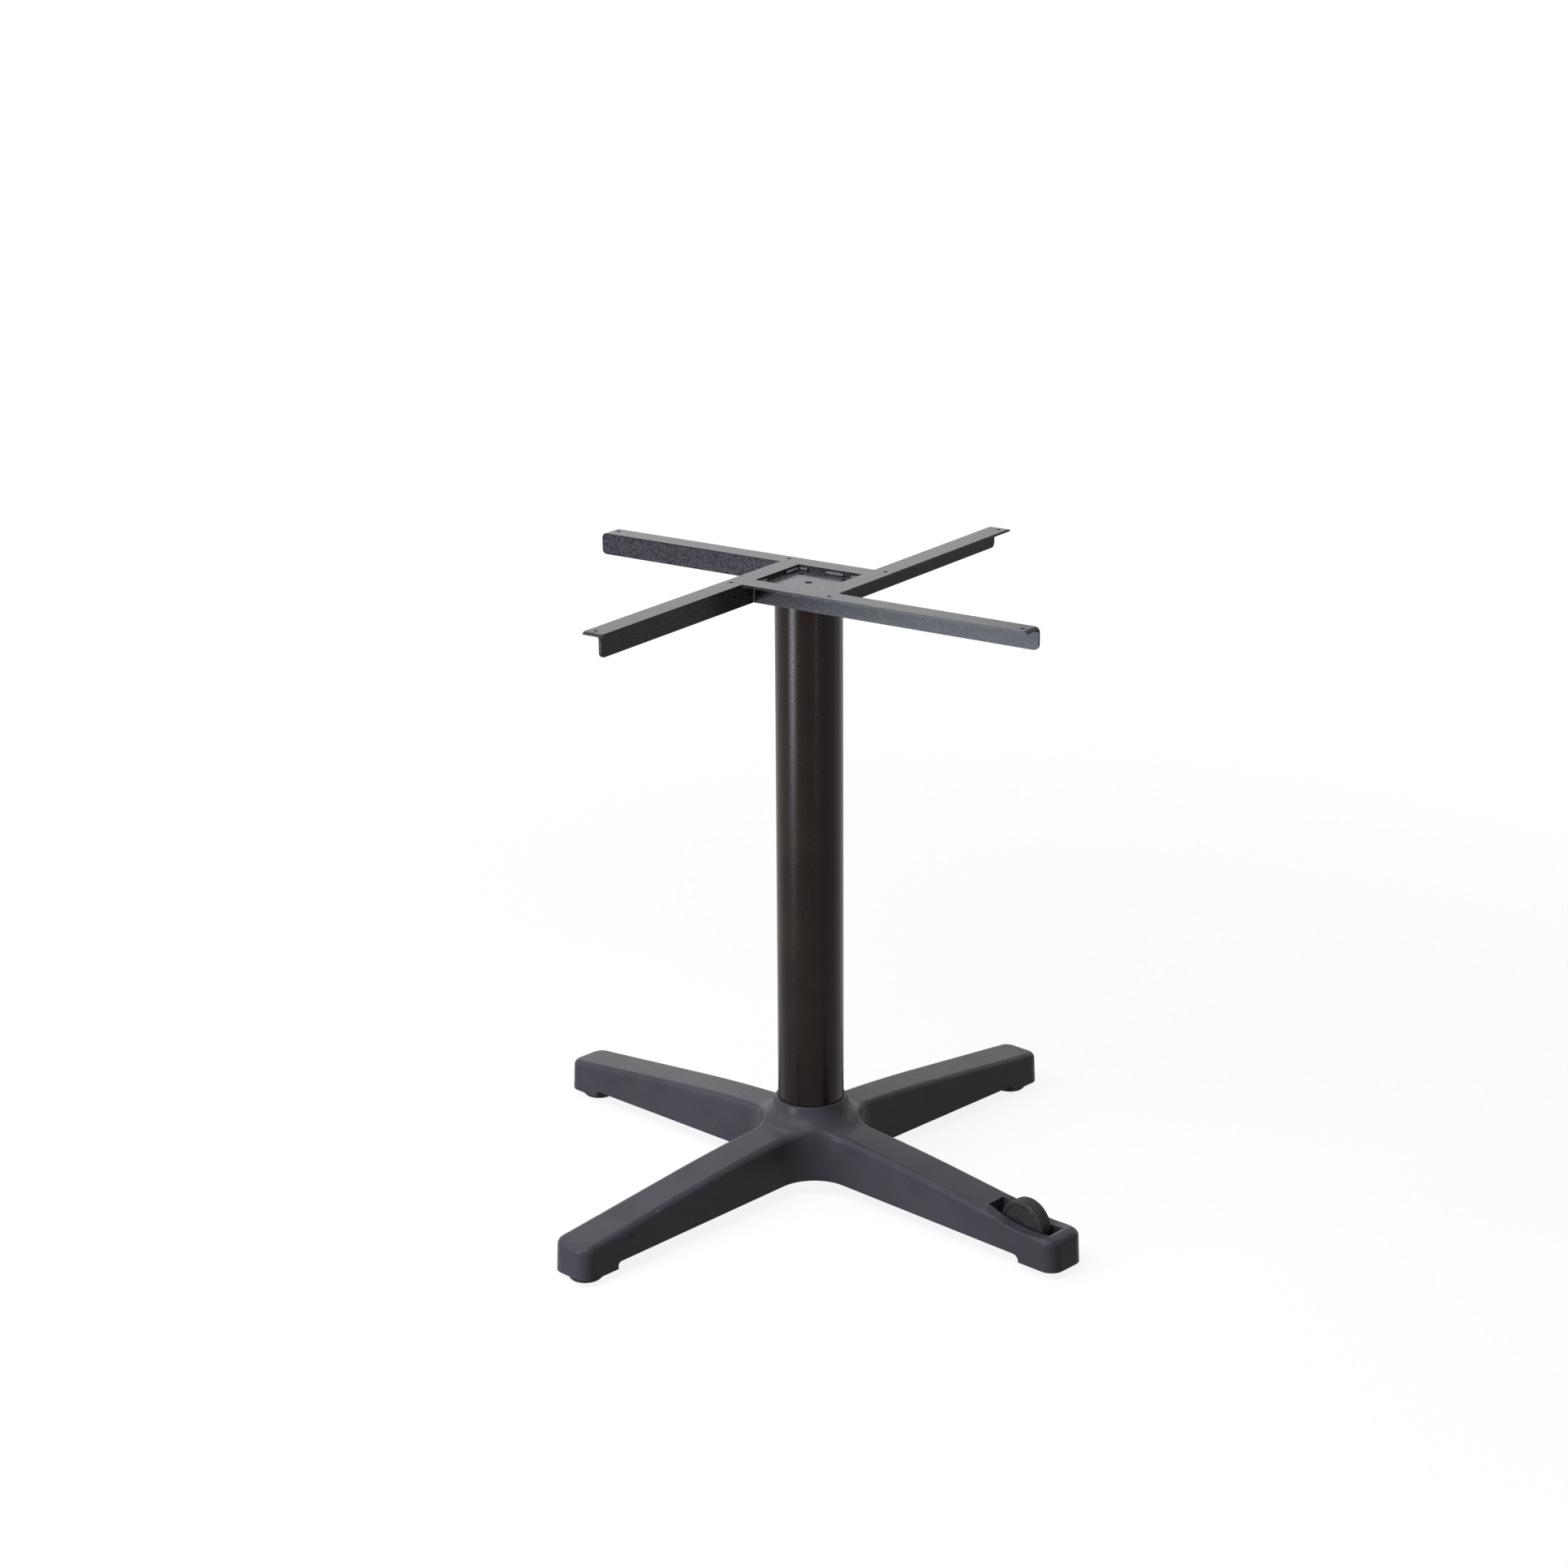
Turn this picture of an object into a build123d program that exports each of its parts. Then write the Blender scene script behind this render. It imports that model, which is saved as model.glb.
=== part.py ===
"""Table base: moulded four-armed foot with a levelling wheel, steel column, welded angle-iron frame."""

from build123d import *
import os

# Millimetres. The column axis is the Z axis and the floor is Z = 0.
# The arm with the levelling wheel points along +X.

# Overall
table_height = 720.0
arm_reach = 386.0

# Column
column_radius = 38.0
column_wall = 2.0
column_seat = 28.0
socket_clearance = 0.15

# Arms, seen from above
arm_half_width = 28.0
arm_end_radius = 16.0
valley_radius = 47.0
draft_angle = 2.5

# Arms, seen from the side
tip_height = 45.5
knee_reach = 200.0
knee_height = 66.2
shoulder_height = 77.0
flare_reach = 26.3
flare_top = 101.0
collar_height = 102.5
collar_wall = 3.55
collar_bevel = 0.8
arm_edge_radius = 7.0
hub_underside = 20.0
arch_end_height = 17.4
glide_arch_radius = 4.5
wheel_arch_radius = 7.8
foot_underside = 9.5
foot_length = 48.0

# Walls and webs inside the moulding
wall = 4.5
web = 3.0
web_recess = 4.0
web_pitch = 50.0
first_web = 110.0
socket_wall = 4.85

# Hub screws, plate and column plug
screw_radius = 4.0
screw_circle = 23.0
screw_head_flats = 13.0
screw_head_height = 5.5
screw_flange_radius = 8.5
screw_flange = 1.6
screw_hole_clearance = 0.5
thread_clearance = 0.05
hub_plate_radius = 36.0
hub_plate_thickness = 3.0
plug_thickness = 8.0
plug_clearance = 0.05

# Glides
glide_radius = 18.5
glide_inset = 26.0
glide_edge = 1.5
glide_boss_radius = 9.0
stem_radius = 5.0
stem_length = 18.0
stem_end_gap = 1.0
stem_clearance = 0.05

# Levelling wheel, its axle and its pocket
wheel_radius = 29.4
wheel_width = 17.0
wheel_rise = 12.8
wheel_throw = 10.0
wheel_rim = 4.7
wheel_recess = 1.2
wheel_edge = 1.0
wheel_hub_radius = 8.0
wheel_side_gap = 0.5
wheel_end_gap = 3.85
mark_radius = 1.1
mark_depth = 2.0
mark_back = 6.6
mark_up = 8.1
axle_radius = 4.0
axle_running_clearance = 0.06
axle_seat_clearance = 0.02
axle_boss_radius = 8.0
axle_blind_wall = 5.0
axle_inset = 3.0
pocket_half_width = 13.0
pocket_wall = 4.0
pocket_end_wall = 18.5
scoop_radius = 160.0
scoop_floor = 45.0
scoop_shift = 21.0
scoop_edge = 1.5

# Top frame
frame_twist = 9.0
leg = 25.0
leg_thickness = 3.0
root_radius = 2.5
iron_length = 362.5
iron_tip_radius = 6.0
plate_margin = 4.5
plate_drop = 6.0
plate_thickness = 5.0
plate_hole_radius = 4.25
plate_hole_inset = 13.5
screw_slot_radius = 2.5
slot_from_edge = 9.5
tip_hole_inset = 12.0
mid_hole_inset = 108.5

# Welds
plate_bead = 4.5
end_bead = 4.0
end_bead_gap = 2.0
column_bead = 3.0
column_bead_arc = 50.0

# Stitches along each side of the plate: place along the iron, then length
plain_stitches = [(-20.0, 22.0), (20.0, 22.0)]
back_left_stitches = [(-35.0, 11.0), (-7.5, 23.0), (34.5, 9.0)]
front_left_stitches = [(-27.5, 19.0), (28.5, 12.0)]
plate_stitches = [plain_stitches, plain_stitches, back_left_stitches, front_left_stitches]

# Places that follow from the sizes above
collar_radius = column_radius + socket_clearance + collar_wall
shoulder_reach = collar_radius + flare_reach
socket_radius = column_radius + socket_clearance
core_radius = socket_radius + socket_wall
foot_start = arm_reach - foot_length
glide_reach = arm_reach - glide_inset
past_end = arm_reach + arm_half_width
crest_slope = (tip_height - knee_height) / (arm_reach - knee_reach)
pocket_length = 2 * (wheel_radius + wheel_throw + wheel_end_gap)
pocket_outer = arm_reach - pocket_end_wall
axle_reach = pocket_outer - pocket_length / 2
wheel_centre_height = wheel_rise + wheel_radius
axle_height = wheel_centre_height - wheel_throw
heel = column_radius + plate_margin
plate_top = table_height - plate_drop
plate_bottom = plate_top - plate_thickness


def arms_plan(half_width, reach, end_radius, valley):
    """Four crossed arms from above, with rounded ends and hollow valleys between them."""
    with BuildSketch() as plan:
        Rectangle(2 * reach, 2 * half_width)
        Rectangle(2 * half_width, 2 * reach)
        fillet(plan.vertices().group_by(SortBy.DISTANCE)[0], valley)
        fillet(plan.vertices().group_by(SortBy.DISTANCE)[-1], end_radius)
    return plan.sketch


def half_section(inset):
    """Half section out to past the arm ends: crest, flare and collar, each in by `inset`."""
    collar = collar_radius - inset
    far_height = knee_height + crest_slope * (past_end - knee_reach)
    with BuildSketch() as section:
        with BuildLine():
            crest = Line((past_end, far_height - inset), (knee_reach, knee_height - inset))
            shoulder = TangentArc(
                crest @ 1, (shoulder_reach, shoulder_height - inset), tangent=crest % 1
            )
            flare = TangentArc(shoulder @ 1, (collar, flare_top), tangent=shoulder % 1)
            Polyline(
                flare @ 1,
                (collar, collar_height - collar_bevel),
                (collar - collar_bevel, collar_height),
                (0, collar_height),
                (0, 0),
                (past_end, 0),
                crest @ 0,
            )
        make_face()
    return section.sketch


def arch_section(corner_radius):
    """Half section of the space under the arms, rounded where it meets the feet."""
    with BuildSketch() as section:
        with BuildLine():
            Polyline(
                (0, 0),
                (0, hub_underside),
                (core_radius, hub_underside),
                (foot_start, arch_end_height),
                (foot_start, 0),
                close=True,
            )
        make_face()
        fillet(section.vertices().group_by(Axis.X)[-1].sort_by(Axis.Y)[-1], corner_radius)
    return section.sketch


# The space inside the arms, open below, broken up by webs and bosses
inner_plan = arms_plan(
    arm_half_width - wall, arm_reach - wall, arm_end_radius - wall, valley_radius + wall
)
with BuildPart() as hollow:
    with BuildSketch(Plane.XY.offset(foot_underside)):
        add(inner_plan)
    extrude(amount=collar_height, taper=draft_angle)
    with BuildSketch(Plane.XY):
        add(inner_plan)
    extrude(amount=foot_underside)
    with BuildSketch(Plane.XZ):
        add(half_section(wall))
    revolve(axis=Axis.Z, mode=Mode.INTERSECT)
    with BuildSketch(Plane.XY):
        Circle(core_radius)
    extrude(amount=collar_height, mode=Mode.SUBTRACT)
    # Webs along and across the arms stop short of the lower edge
    with BuildSketch(Plane.XY.offset(hub_underside + web_recess)):
        Rectangle(2 * arm_reach, web)
        Rectangle(web, 2 * arm_reach)
        with Locations(Rotation(0, 0, 45)):
            Rectangle(4 * core_radius, web)
            Rectangle(web, 4 * core_radius)
        web_count = int((foot_start - first_web) / web_pitch) + 1
        with PolarLocations(0, 4):
            for number in range(web_count):
                with Locations((first_web + number * web_pitch, 0)):
                    Rectangle(web, 2 * arm_half_width)
    extrude(amount=collar_height, mode=Mode.SUBTRACT)
    # Each foot with a glide has a boss, four webs and a wall at the end of the arch
    with BuildSketch(Plane.XY.offset(foot_underside)):
        with PolarLocations(glide_reach, 3, start_angle=90, angular_range=270):
            Circle(glide_boss_radius)
            Rectangle(web, 2 * arm_half_width)
            Rectangle(2 * glide_inset, web)
            with Locations((foot_start + web / 2 - glide_reach, 0)):
                Rectangle(web, 2 * arm_half_width)
    extrude(amount=collar_height, mode=Mode.SUBTRACT)
    # Walls of the wheel pocket and the bosses that hold the axle
    with BuildSketch(Plane.XY):
        with Locations((axle_reach, 0)):
            Rectangle(pocket_length + 2 * pocket_wall, 2 * (pocket_half_width + pocket_wall))
    extrude(amount=collar_height, mode=Mode.SUBTRACT)
    with BuildSketch(Plane.XZ.offset(-arm_half_width)):
        with Locations((axle_reach, axle_height)):
            Circle(axle_boss_radius)
    extrude(amount=2 * arm_half_width, mode=Mode.SUBTRACT)
    # The roof stays a full wall thick below the scoop
    with BuildSketch(Plane.XZ.offset(-arm_half_width)):
        with Locations((axle_reach + scoop_shift, scoop_floor + scoop_radius)):
            Circle(scoop_radius + wall)
    extrude(amount=2 * arm_half_width, mode=Mode.SUBTRACT)

with BuildPart() as base_moulding:
    with BuildSketch(Plane.XY.offset(foot_underside)):
        add(arms_plan(arm_half_width, arm_reach, arm_end_radius, valley_radius))
    extrude(amount=collar_height, taper=draft_angle)
    with BuildSketch(Plane.XZ):
        add(half_section(0))
    revolve(axis=Axis.Z, mode=Mode.INTERSECT)
    # Arched lower edge between the hub and the feet, with a wider round at the wheel
    for start_angle, arc, corner_radius in [(-45, 90, wheel_arch_radius), (45, 270, glide_arch_radius)]:
        arch_plane = Plane(
            (0, 0, 0),
            x_dir=Vector(1, 0, 0).rotate(Axis.Z, start_angle),
            z_dir=Vector(0, -1, 0).rotate(Axis.Z, start_angle),
        )
        with BuildSketch(arch_plane):
            add(arch_section(corner_radius))
        revolve(axis=Axis.Z, revolution_arc=arc, mode=Mode.SUBTRACT)
    # Soft upper edge all the way round the arms
    outer_walls = base_moulding.faces().filter_by(
        lambda face: abs(face.normal_at().Z) < 0.3 and face.center().Z < shoulder_height
    )
    upper_edges = outer_walls.edges().filter_by(
        lambda edge: edge.center().Z > tip_height / 2 + foot_underside and abs((edge % 0.5).Z) < 0.5
    )
    fillet(upper_edges, arm_edge_radius)
    add(hollow.part, mode=Mode.SUBTRACT)
    # Socket for the column and holes for the hub screws
    with BuildSketch(Plane.XY.offset(column_seat)):
        Circle(socket_radius)
    extrude(amount=collar_height, mode=Mode.SUBTRACT)
    with BuildSketch(Plane.XY):
        with PolarLocations(screw_circle, 4, start_angle=45):
            Circle(screw_radius + screw_hole_clearance)
    extrude(amount=column_seat, mode=Mode.SUBTRACT)
    # Scoop in the top of the wheel arm, and the pocket through it
    with BuildSketch(Plane.XZ.offset(-2 * arm_half_width)):
        with Locations((axle_reach + scoop_shift, scoop_floor + scoop_radius)):
            Circle(scoop_radius)
    extrude(amount=4 * arm_half_width, mode=Mode.SUBTRACT)
    scoop = base_moulding.faces().sort_by_distance((axle_reach + scoop_shift, 0, scoop_floor))[0]
    fillet(scoop.edges(), scoop_edge)
    with BuildSketch(Plane.XY):
        with Locations((axle_reach, 0)):
            Rectangle(pocket_length, 2 * pocket_half_width)
    extrude(amount=collar_height, mode=Mode.SUBTRACT)
    # Axle bore: open on the far side, blind on the near side
    with BuildSketch(Plane.XZ.offset(-2 * arm_half_width)):
        with Locations((axle_reach, axle_height)):
            Circle(axle_radius + axle_seat_clearance)
    extrude(amount=3 * arm_half_width - axle_blind_wall, mode=Mode.SUBTRACT)
    # Bores for the glide stems
    with BuildSketch(Plane.XY):
        with PolarLocations(glide_reach, 3, start_angle=90, angular_range=270):
            Circle(stem_radius + stem_clearance)
    extrude(amount=foot_underside + stem_length + stem_end_gap, mode=Mode.SUBTRACT)
base_moulding.part.label = "base_moulding"

with BuildPart() as column_tube:
    with BuildSketch(Plane.XY.offset(column_seat)):
        Circle(column_radius)
        Circle(column_radius - column_wall, mode=Mode.SUBTRACT)
    extrude(amount=plate_bottom - column_seat)
column_tube.part.label = "column_tube"

with BuildPart() as column_plug:
    with BuildSketch(Plane.XY.offset(column_seat)):
        Circle(column_radius - column_wall - plug_clearance)
        with PolarLocations(screw_circle, 4, start_angle=45):
            Circle(screw_radius + thread_clearance, mode=Mode.SUBTRACT)
    extrude(amount=plug_thickness)
column_plug.part.label = "column_plug"

hub_plate_bottom = hub_underside - hub_plate_thickness
with BuildPart() as hub_plate:
    with BuildSketch(Plane.XY.offset(hub_plate_bottom)):
        Circle(hub_plate_radius)
        with PolarLocations(screw_circle, 4, start_angle=45):
            Circle(screw_radius + screw_hole_clearance, mode=Mode.SUBTRACT)
    extrude(amount=hub_plate_thickness)
hub_plate.part.label = "hub_plate"

with BuildPart() as hub_screws:
    with BuildSketch(Plane.XY.offset(hub_plate_bottom)):
        with PolarLocations(screw_circle, 4, start_angle=45):
            Circle(screw_radius)
    extrude(amount=column_seat + plug_thickness - hub_plate_bottom)
    with BuildSketch(Plane.XY.offset(hub_plate_bottom)):
        with PolarLocations(screw_circle, 4, start_angle=45):
            Circle(screw_flange_radius)
    extrude(amount=-screw_flange)
    with BuildSketch(Plane.XY.offset(hub_plate_bottom - screw_flange)):
        with PolarLocations(screw_circle, 4, start_angle=45):
            RegularPolygon(screw_head_flats / 2, 6, major_radius=False)
    extrude(amount=screw_flange - screw_head_height)
hub_screws.part.label = "hub_screws"

# One glide under each arm that has no wheel
glides = []
for name, arm_angle in [("glide_back_right", 90), ("glide_back_left", 180), ("glide_front_left", 270)]:
    centre = Vector(glide_reach, 0, 0).rotate(Axis.Z, arm_angle)
    with BuildPart() as glide:
        with BuildSketch(Plane(centre, z_dir=(0, 0, 1))):
            Circle(glide_radius)
        extrude(amount=foot_underside)
        chamfer(glide.edges().group_by(Axis.Z)[0], glide_edge)
        with BuildSketch(Plane(centre + Vector(0, 0, foot_underside), z_dir=(0, 0, 1))):
            Circle(stem_radius)
        extrude(amount=stem_length)
    glide.part.label = name
    glides.append(glide.part)

# The wheel sits off-centre on its axle, so a half turn lowers its rim below the floor line
wheel_plane = Plane((axle_reach, 0, wheel_centre_height), x_dir=(1, 0, 0), z_dir=(0, -1, 0))
with BuildPart() as levelling_wheel:
    with BuildSketch(wheel_plane):
        Circle(wheel_radius)
    extrude(amount=wheel_width / 2, both=True)
    chamfer(levelling_wheel.edges().filter_by(GeomType.CIRCLE), wheel_edge)
    for side in (1, -1):
        with BuildSketch(wheel_plane.offset(side * wheel_width / 2)):
            Circle(wheel_radius - wheel_rim)
        extrude(amount=-side * wheel_recess, mode=Mode.SUBTRACT)
    with BuildSketch(wheel_plane):
        with Locations((0, -wheel_throw)):
            Circle(wheel_hub_radius)
    extrude(amount=pocket_half_width - wheel_side_gap, both=True)
    with BuildSketch(wheel_plane):
        with Locations((0, -wheel_throw)):
            Circle(axle_radius + axle_running_clearance)
    extrude(amount=pocket_half_width, both=True, mode=Mode.SUBTRACT)
    with BuildSketch(wheel_plane.offset(wheel_width / 2 - wheel_recess)):
        with Locations((-mark_back, mark_up)):
            Circle(mark_radius)
    extrude(amount=-mark_depth, mode=Mode.SUBTRACT)
levelling_wheel.part.label = "levelling_wheel"

axle_near_end = arm_half_width - axle_blind_wall
axle_far_end = arm_half_width - axle_inset
with BuildPart() as wheel_axle:
    with BuildSketch(Plane.XZ.offset(axle_near_end)):
        with Locations((axle_reach, axle_height)):
            Circle(axle_radius)
    extrude(amount=-(axle_near_end + axle_far_end))
wheel_axle.part.label = "wheel_axle"

with BuildPart() as top_plate:
    with BuildSketch(Plane.XY.offset(plate_bottom).rotated((0, 0, frame_twist))):
        Rectangle(2 * heel, 2 * heel)
        Circle(plate_hole_radius, mode=Mode.SUBTRACT)
        hole_pitch = 2 * (heel - plate_hole_inset)
        with GridLocations(hole_pitch, hole_pitch, 2, 2):
            Circle(plate_hole_radius, mode=Mode.SUBTRACT)
    extrude(amount=plate_thickness)
top_plate.part.label = "top_plate"

# Each iron starts against the heel of the next and runs past the plate, as in a pinwheel
irons = []
iron_names = ["angle_front_right", "angle_back_right", "angle_back_left", "angle_front_left"]
hole_line = slot_from_edge - heel - leg
for turn, name in enumerate(iron_names):
    direction = Vector(1, 0, 0).rotate(Axis.Z, frame_twist + 90 * turn)
    outward = direction.rotate(Axis.Z, -90)
    start = direction * -heel
    top = Vector(0, 0, table_height)
    with BuildPart() as iron:
        with BuildSketch(Plane(start + top, x_dir=outward, z_dir=direction)) as section:
            with BuildLine():
                Polyline(
                    (heel, 0),
                    (heel + leg, 0),
                    (heel + leg, leg_thickness),
                    (heel + leg_thickness, leg_thickness),
                    (heel + leg_thickness, leg),
                    (heel, leg),
                    close=True,
                )
            make_face()
            inner_corner = section.vertices().sort_by_distance((heel + leg_thickness, leg_thickness))[0]
            fillet(inner_corner, root_radius)
        extrude(amount=iron_length)
        # The tip is rounded in side view
        with BuildSketch(Plane(start + top, x_dir=direction, z_dir=outward)) as side_view:
            with Locations((iron_length / 2, -leg / 2)):
                Rectangle(iron_length, leg)
            fillet(side_view.vertices().group_by(Axis.X)[-1], iron_tip_radius)
        extrude(amount=heel + 2 * leg, mode=Mode.INTERSECT)
        with BuildSketch(Plane(start + top, x_dir=direction, z_dir=(0, 0, 1))):
            with Locations((mid_hole_inset, hole_line), (iron_length - tip_hole_inset, hole_line)):
                Circle(screw_slot_radius)
        extrude(amount=-leg_thickness, mode=Mode.SUBTRACT)
    iron.part.label = name
    irons.append(iron.part)

# Stitch welds: plate to irons, iron ends to the next iron's heel, column to plate
bead_top = table_height - leg_thickness - root_radius
with BuildPart() as weld_beads:
    for turn in range(4):
        direction = Vector(1, 0, 0).rotate(Axis.Z, frame_twist + 90 * turn)
        outward = direction.rotate(Axis.Z, -90)
        corner = outward * heel + Vector(0, 0, plate_top)
        for along, stitch in plate_stitches[turn]:
            bead_start = corner + direction * (along - stitch / 2)
            with BuildSketch(Plane(bead_start, x_dir=outward, z_dir=direction)):
                with BuildLine():
                    Polyline((0, 0), (-plate_bead, 0), (0, -plate_bead), close=True)
                make_face()
            extrude(amount=stitch)
        end_corner = direction * -heel + outward * (heel + leg_thickness)
        with BuildSketch(Plane(end_corner + Vector(0, 0, bead_top), x_dir=direction, z_dir=(0, 0, 1))):
            with BuildLine():
                Polyline((0, 0), (end_bead, 0), (0, -end_bead), close=True)
            make_face()
        extrude(amount=-(leg - leg_thickness - root_radius - end_bead_gap))
        with BuildSketch(Plane((0, 0, 0), x_dir=direction.rotate(Axis.Z, -column_bead_arc / 2),
                               z_dir=outward.rotate(Axis.Z, -column_bead_arc / 2))):
            with BuildLine():
                Polyline(
                    (column_radius, plate_bottom),
                    (column_radius + column_bead, plate_bottom),
                    (column_radius, plate_bottom - column_bead),
                    close=True,
                )
            make_face()
        revolve(axis=Axis.Z, revolution_arc=column_bead_arc)
weld_beads.part.label = "weld_beads"

os.makedirs("parts", exist_ok=True)
single_parts = [
    base_moulding.part,
    column_tube.part,
    column_plug.part,
    hub_plate.part,
    hub_screws.part,
    levelling_wheel.part,
    wheel_axle.part,
    top_plate.part,
    weld_beads.part,
]
for piece in single_parts + glides + irons:
    export_step(piece, f"parts/{piece.label}.step")
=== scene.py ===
"""Table base: plastic cross foot with a levelling wheel, coated column, welded angle-iron frame."""

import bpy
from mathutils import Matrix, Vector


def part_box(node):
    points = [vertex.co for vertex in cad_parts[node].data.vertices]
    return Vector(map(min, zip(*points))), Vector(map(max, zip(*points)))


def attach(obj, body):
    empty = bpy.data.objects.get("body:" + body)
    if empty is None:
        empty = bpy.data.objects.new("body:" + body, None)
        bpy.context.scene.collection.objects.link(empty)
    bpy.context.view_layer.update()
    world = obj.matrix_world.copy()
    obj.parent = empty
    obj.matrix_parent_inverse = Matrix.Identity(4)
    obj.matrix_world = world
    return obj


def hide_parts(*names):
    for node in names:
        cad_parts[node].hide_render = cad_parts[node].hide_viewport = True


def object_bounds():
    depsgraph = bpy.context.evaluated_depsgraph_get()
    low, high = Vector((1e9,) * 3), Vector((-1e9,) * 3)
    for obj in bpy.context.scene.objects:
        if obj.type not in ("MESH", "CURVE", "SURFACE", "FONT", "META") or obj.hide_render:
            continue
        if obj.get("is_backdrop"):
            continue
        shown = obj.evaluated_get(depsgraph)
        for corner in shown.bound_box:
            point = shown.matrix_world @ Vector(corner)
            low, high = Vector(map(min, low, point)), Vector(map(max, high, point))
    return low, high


bl_info = {
    "name": "Table Base",
    "version": (1, 0, 0),
    "blender": (4, 5, 0),
    "location": "3D View > Sidebar > Table Base",
    "description": "Finishes and fine detail of a four-armed table base on its packed model",
    "category": "Object",
}

import math

import bmesh
import bpy
from bpy.props import FloatProperty, FloatVectorProperty, IntProperty, PointerProperty
from mathutils import Matrix, Vector

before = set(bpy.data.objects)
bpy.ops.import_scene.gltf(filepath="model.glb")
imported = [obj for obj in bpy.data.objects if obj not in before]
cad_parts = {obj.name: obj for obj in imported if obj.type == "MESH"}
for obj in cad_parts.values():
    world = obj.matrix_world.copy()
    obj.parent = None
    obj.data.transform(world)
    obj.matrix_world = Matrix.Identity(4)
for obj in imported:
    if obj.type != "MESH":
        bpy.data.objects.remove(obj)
cad_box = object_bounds()

MM = 0.001
IRONS = ["angle_front_right", "angle_back_right", "angle_back_left", "angle_front_left"]
GLIDES = ["glide_back_right", "glide_back_left", "glide_front_left"]
HIDDEN_STEEL = ["column_plug", "hub_plate", "hub_screws", "wheel_axle"]
FRAME_TWIST = math.radians(9)
IRON_LEG = 25.0


def length(name, description, value):
    return FloatProperty(name=name, description=description, subtype="DISTANCE", default=value * MM)


def colour(name, description, value):
    return FloatVectorProperty(
        name=name, description=description, subtype="COLOR", size=3, min=0, max=1, default=value
    )


def half_plate():
    """Half the plate's side, from the box of the turned square."""
    low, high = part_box("top_plate")
    return (high.x - low.x) / 2 / (math.cos(FRAME_TWIST) + math.sin(FRAME_TWIST)) / MM


def wheel_centre():
    low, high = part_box("levelling_wheel")
    return (low + high) / 2


class MouldingSettings(bpy.types.PropertyGroup):
    colour: colour("Colour", "Dark grey of the moulded foot", (0.040, 0.0384, 0.0452))
    grain: length("Grain", "Width of one pit of the moulded grain", 0.9)
    rub: length("Rub pitch", "Mean distance between small rub marks", 34)


class ColumnSettings(bpy.types.PropertyGroup):
    colour: colour("Colour", "Brown-black of the column's coat", (0.0080, 0.0048, 0.0038))
    texture: length("Texture", "Width of one bump of the coat", 1.5)
    nick: length("Nick pitch", "Mean distance between nicks near the foot", 7)


class FrameSettings(bpy.types.PropertyGroup):
    colour: colour("Colour", "Graphite of the frame's coat", (0.0240, 0.0220, 0.0250))
    hammer: length("Hammer mark", "Width of one dimple of the hammered coat", 2.2)
    edge: length("Edge rounding", "Radius on the free edges of the irons", 1.3)


class WeldSettings(bpy.types.PropertyGroup):
    pitch: length("Ripple pitch", "Distance between two lumps of a bead", 2.3)
    voxel: length("Fineness", "Size of the smallest lump that is kept", 0.4)
    seed: IntProperty(name="Seed", description="Picks another set of lumps", default=5)


class WheelSettings(bpy.types.PropertyGroup):
    teeth: IntProperty(name="Teeth", description="Knurl teeth round the tread", default=112)
    rows: IntProperty(name="Rows", description="Knurl rows across the tread", default=18)
    tooth_height: length("Tooth height", "Height of a knurl tooth", 0.3)
    numeral: length("Numeral height", "Height of the raised numerals", 5.2)
    numeral_radius: length("Numeral radius", "From the wheel's centre to the numerals", 21.4)
    numerals: IntProperty(name="Numerals", description="How many numerals run round the dial", default=12)
    tenth_angle: FloatProperty(
        name="Place of 10", description="Direction of the numeral 10 on the near face",
        subtype="ANGLE", default=math.radians(139.5),
    )


class StageSettings(bpy.types.PropertyGroup):
    azimuth: FloatProperty(
        name="Azimuth", description="Direction the camera looks in, from +Y", subtype="ANGLE",
        default=math.radians(43.766),
    )
    pitch: FloatProperty(
        name="Pitch", description="Angle the camera looks down by", subtype="ANGLE",
        default=math.radians(17.808),
    )
    roll: FloatProperty(
        name="Roll", description="Turn of the camera about its own axis", subtype="ANGLE",
        default=math.radians(-0.391),
    )
    distance: length("Distance", "From the aim point to the camera", 3716.9)
    aim_side: length("Aim sideways", "Aim point, to the right of the column axis", -28.83)
    aim_height: length("Aim height", "Aim point above the floor", 480.65)
    lens: FloatProperty(
        name="Lens", description="Focal length on a 36 mm square frame, in millimetres", default=75.876
    )


class Wire:
    """An output socket that can stand in a sum."""

    def __init__(self, wiring, socket):
        self.wiring = wiring
        self.socket = socket

    def sum(self, operation, first, second):
        return self.wiring.maths(operation, first, second)

    def __add__(self, other):
        return self.sum("ADD", self, other)

    def __radd__(self, other):
        return self.sum("ADD", other, self)

    def __sub__(self, other):
        return self.sum("SUBTRACT", self, other)

    def __rsub__(self, other):
        return self.sum("SUBTRACT", other, self)

    def __mul__(self, other):
        return self.sum("MULTIPLY", self, other)

    def __rmul__(self, other):
        return self.sum("MULTIPLY", other, self)

    def __truediv__(self, other):
        return self.sum("DIVIDE", self, other)

    def __mod__(self, other):
        return self.sum("MODULO", self, other)


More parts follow.
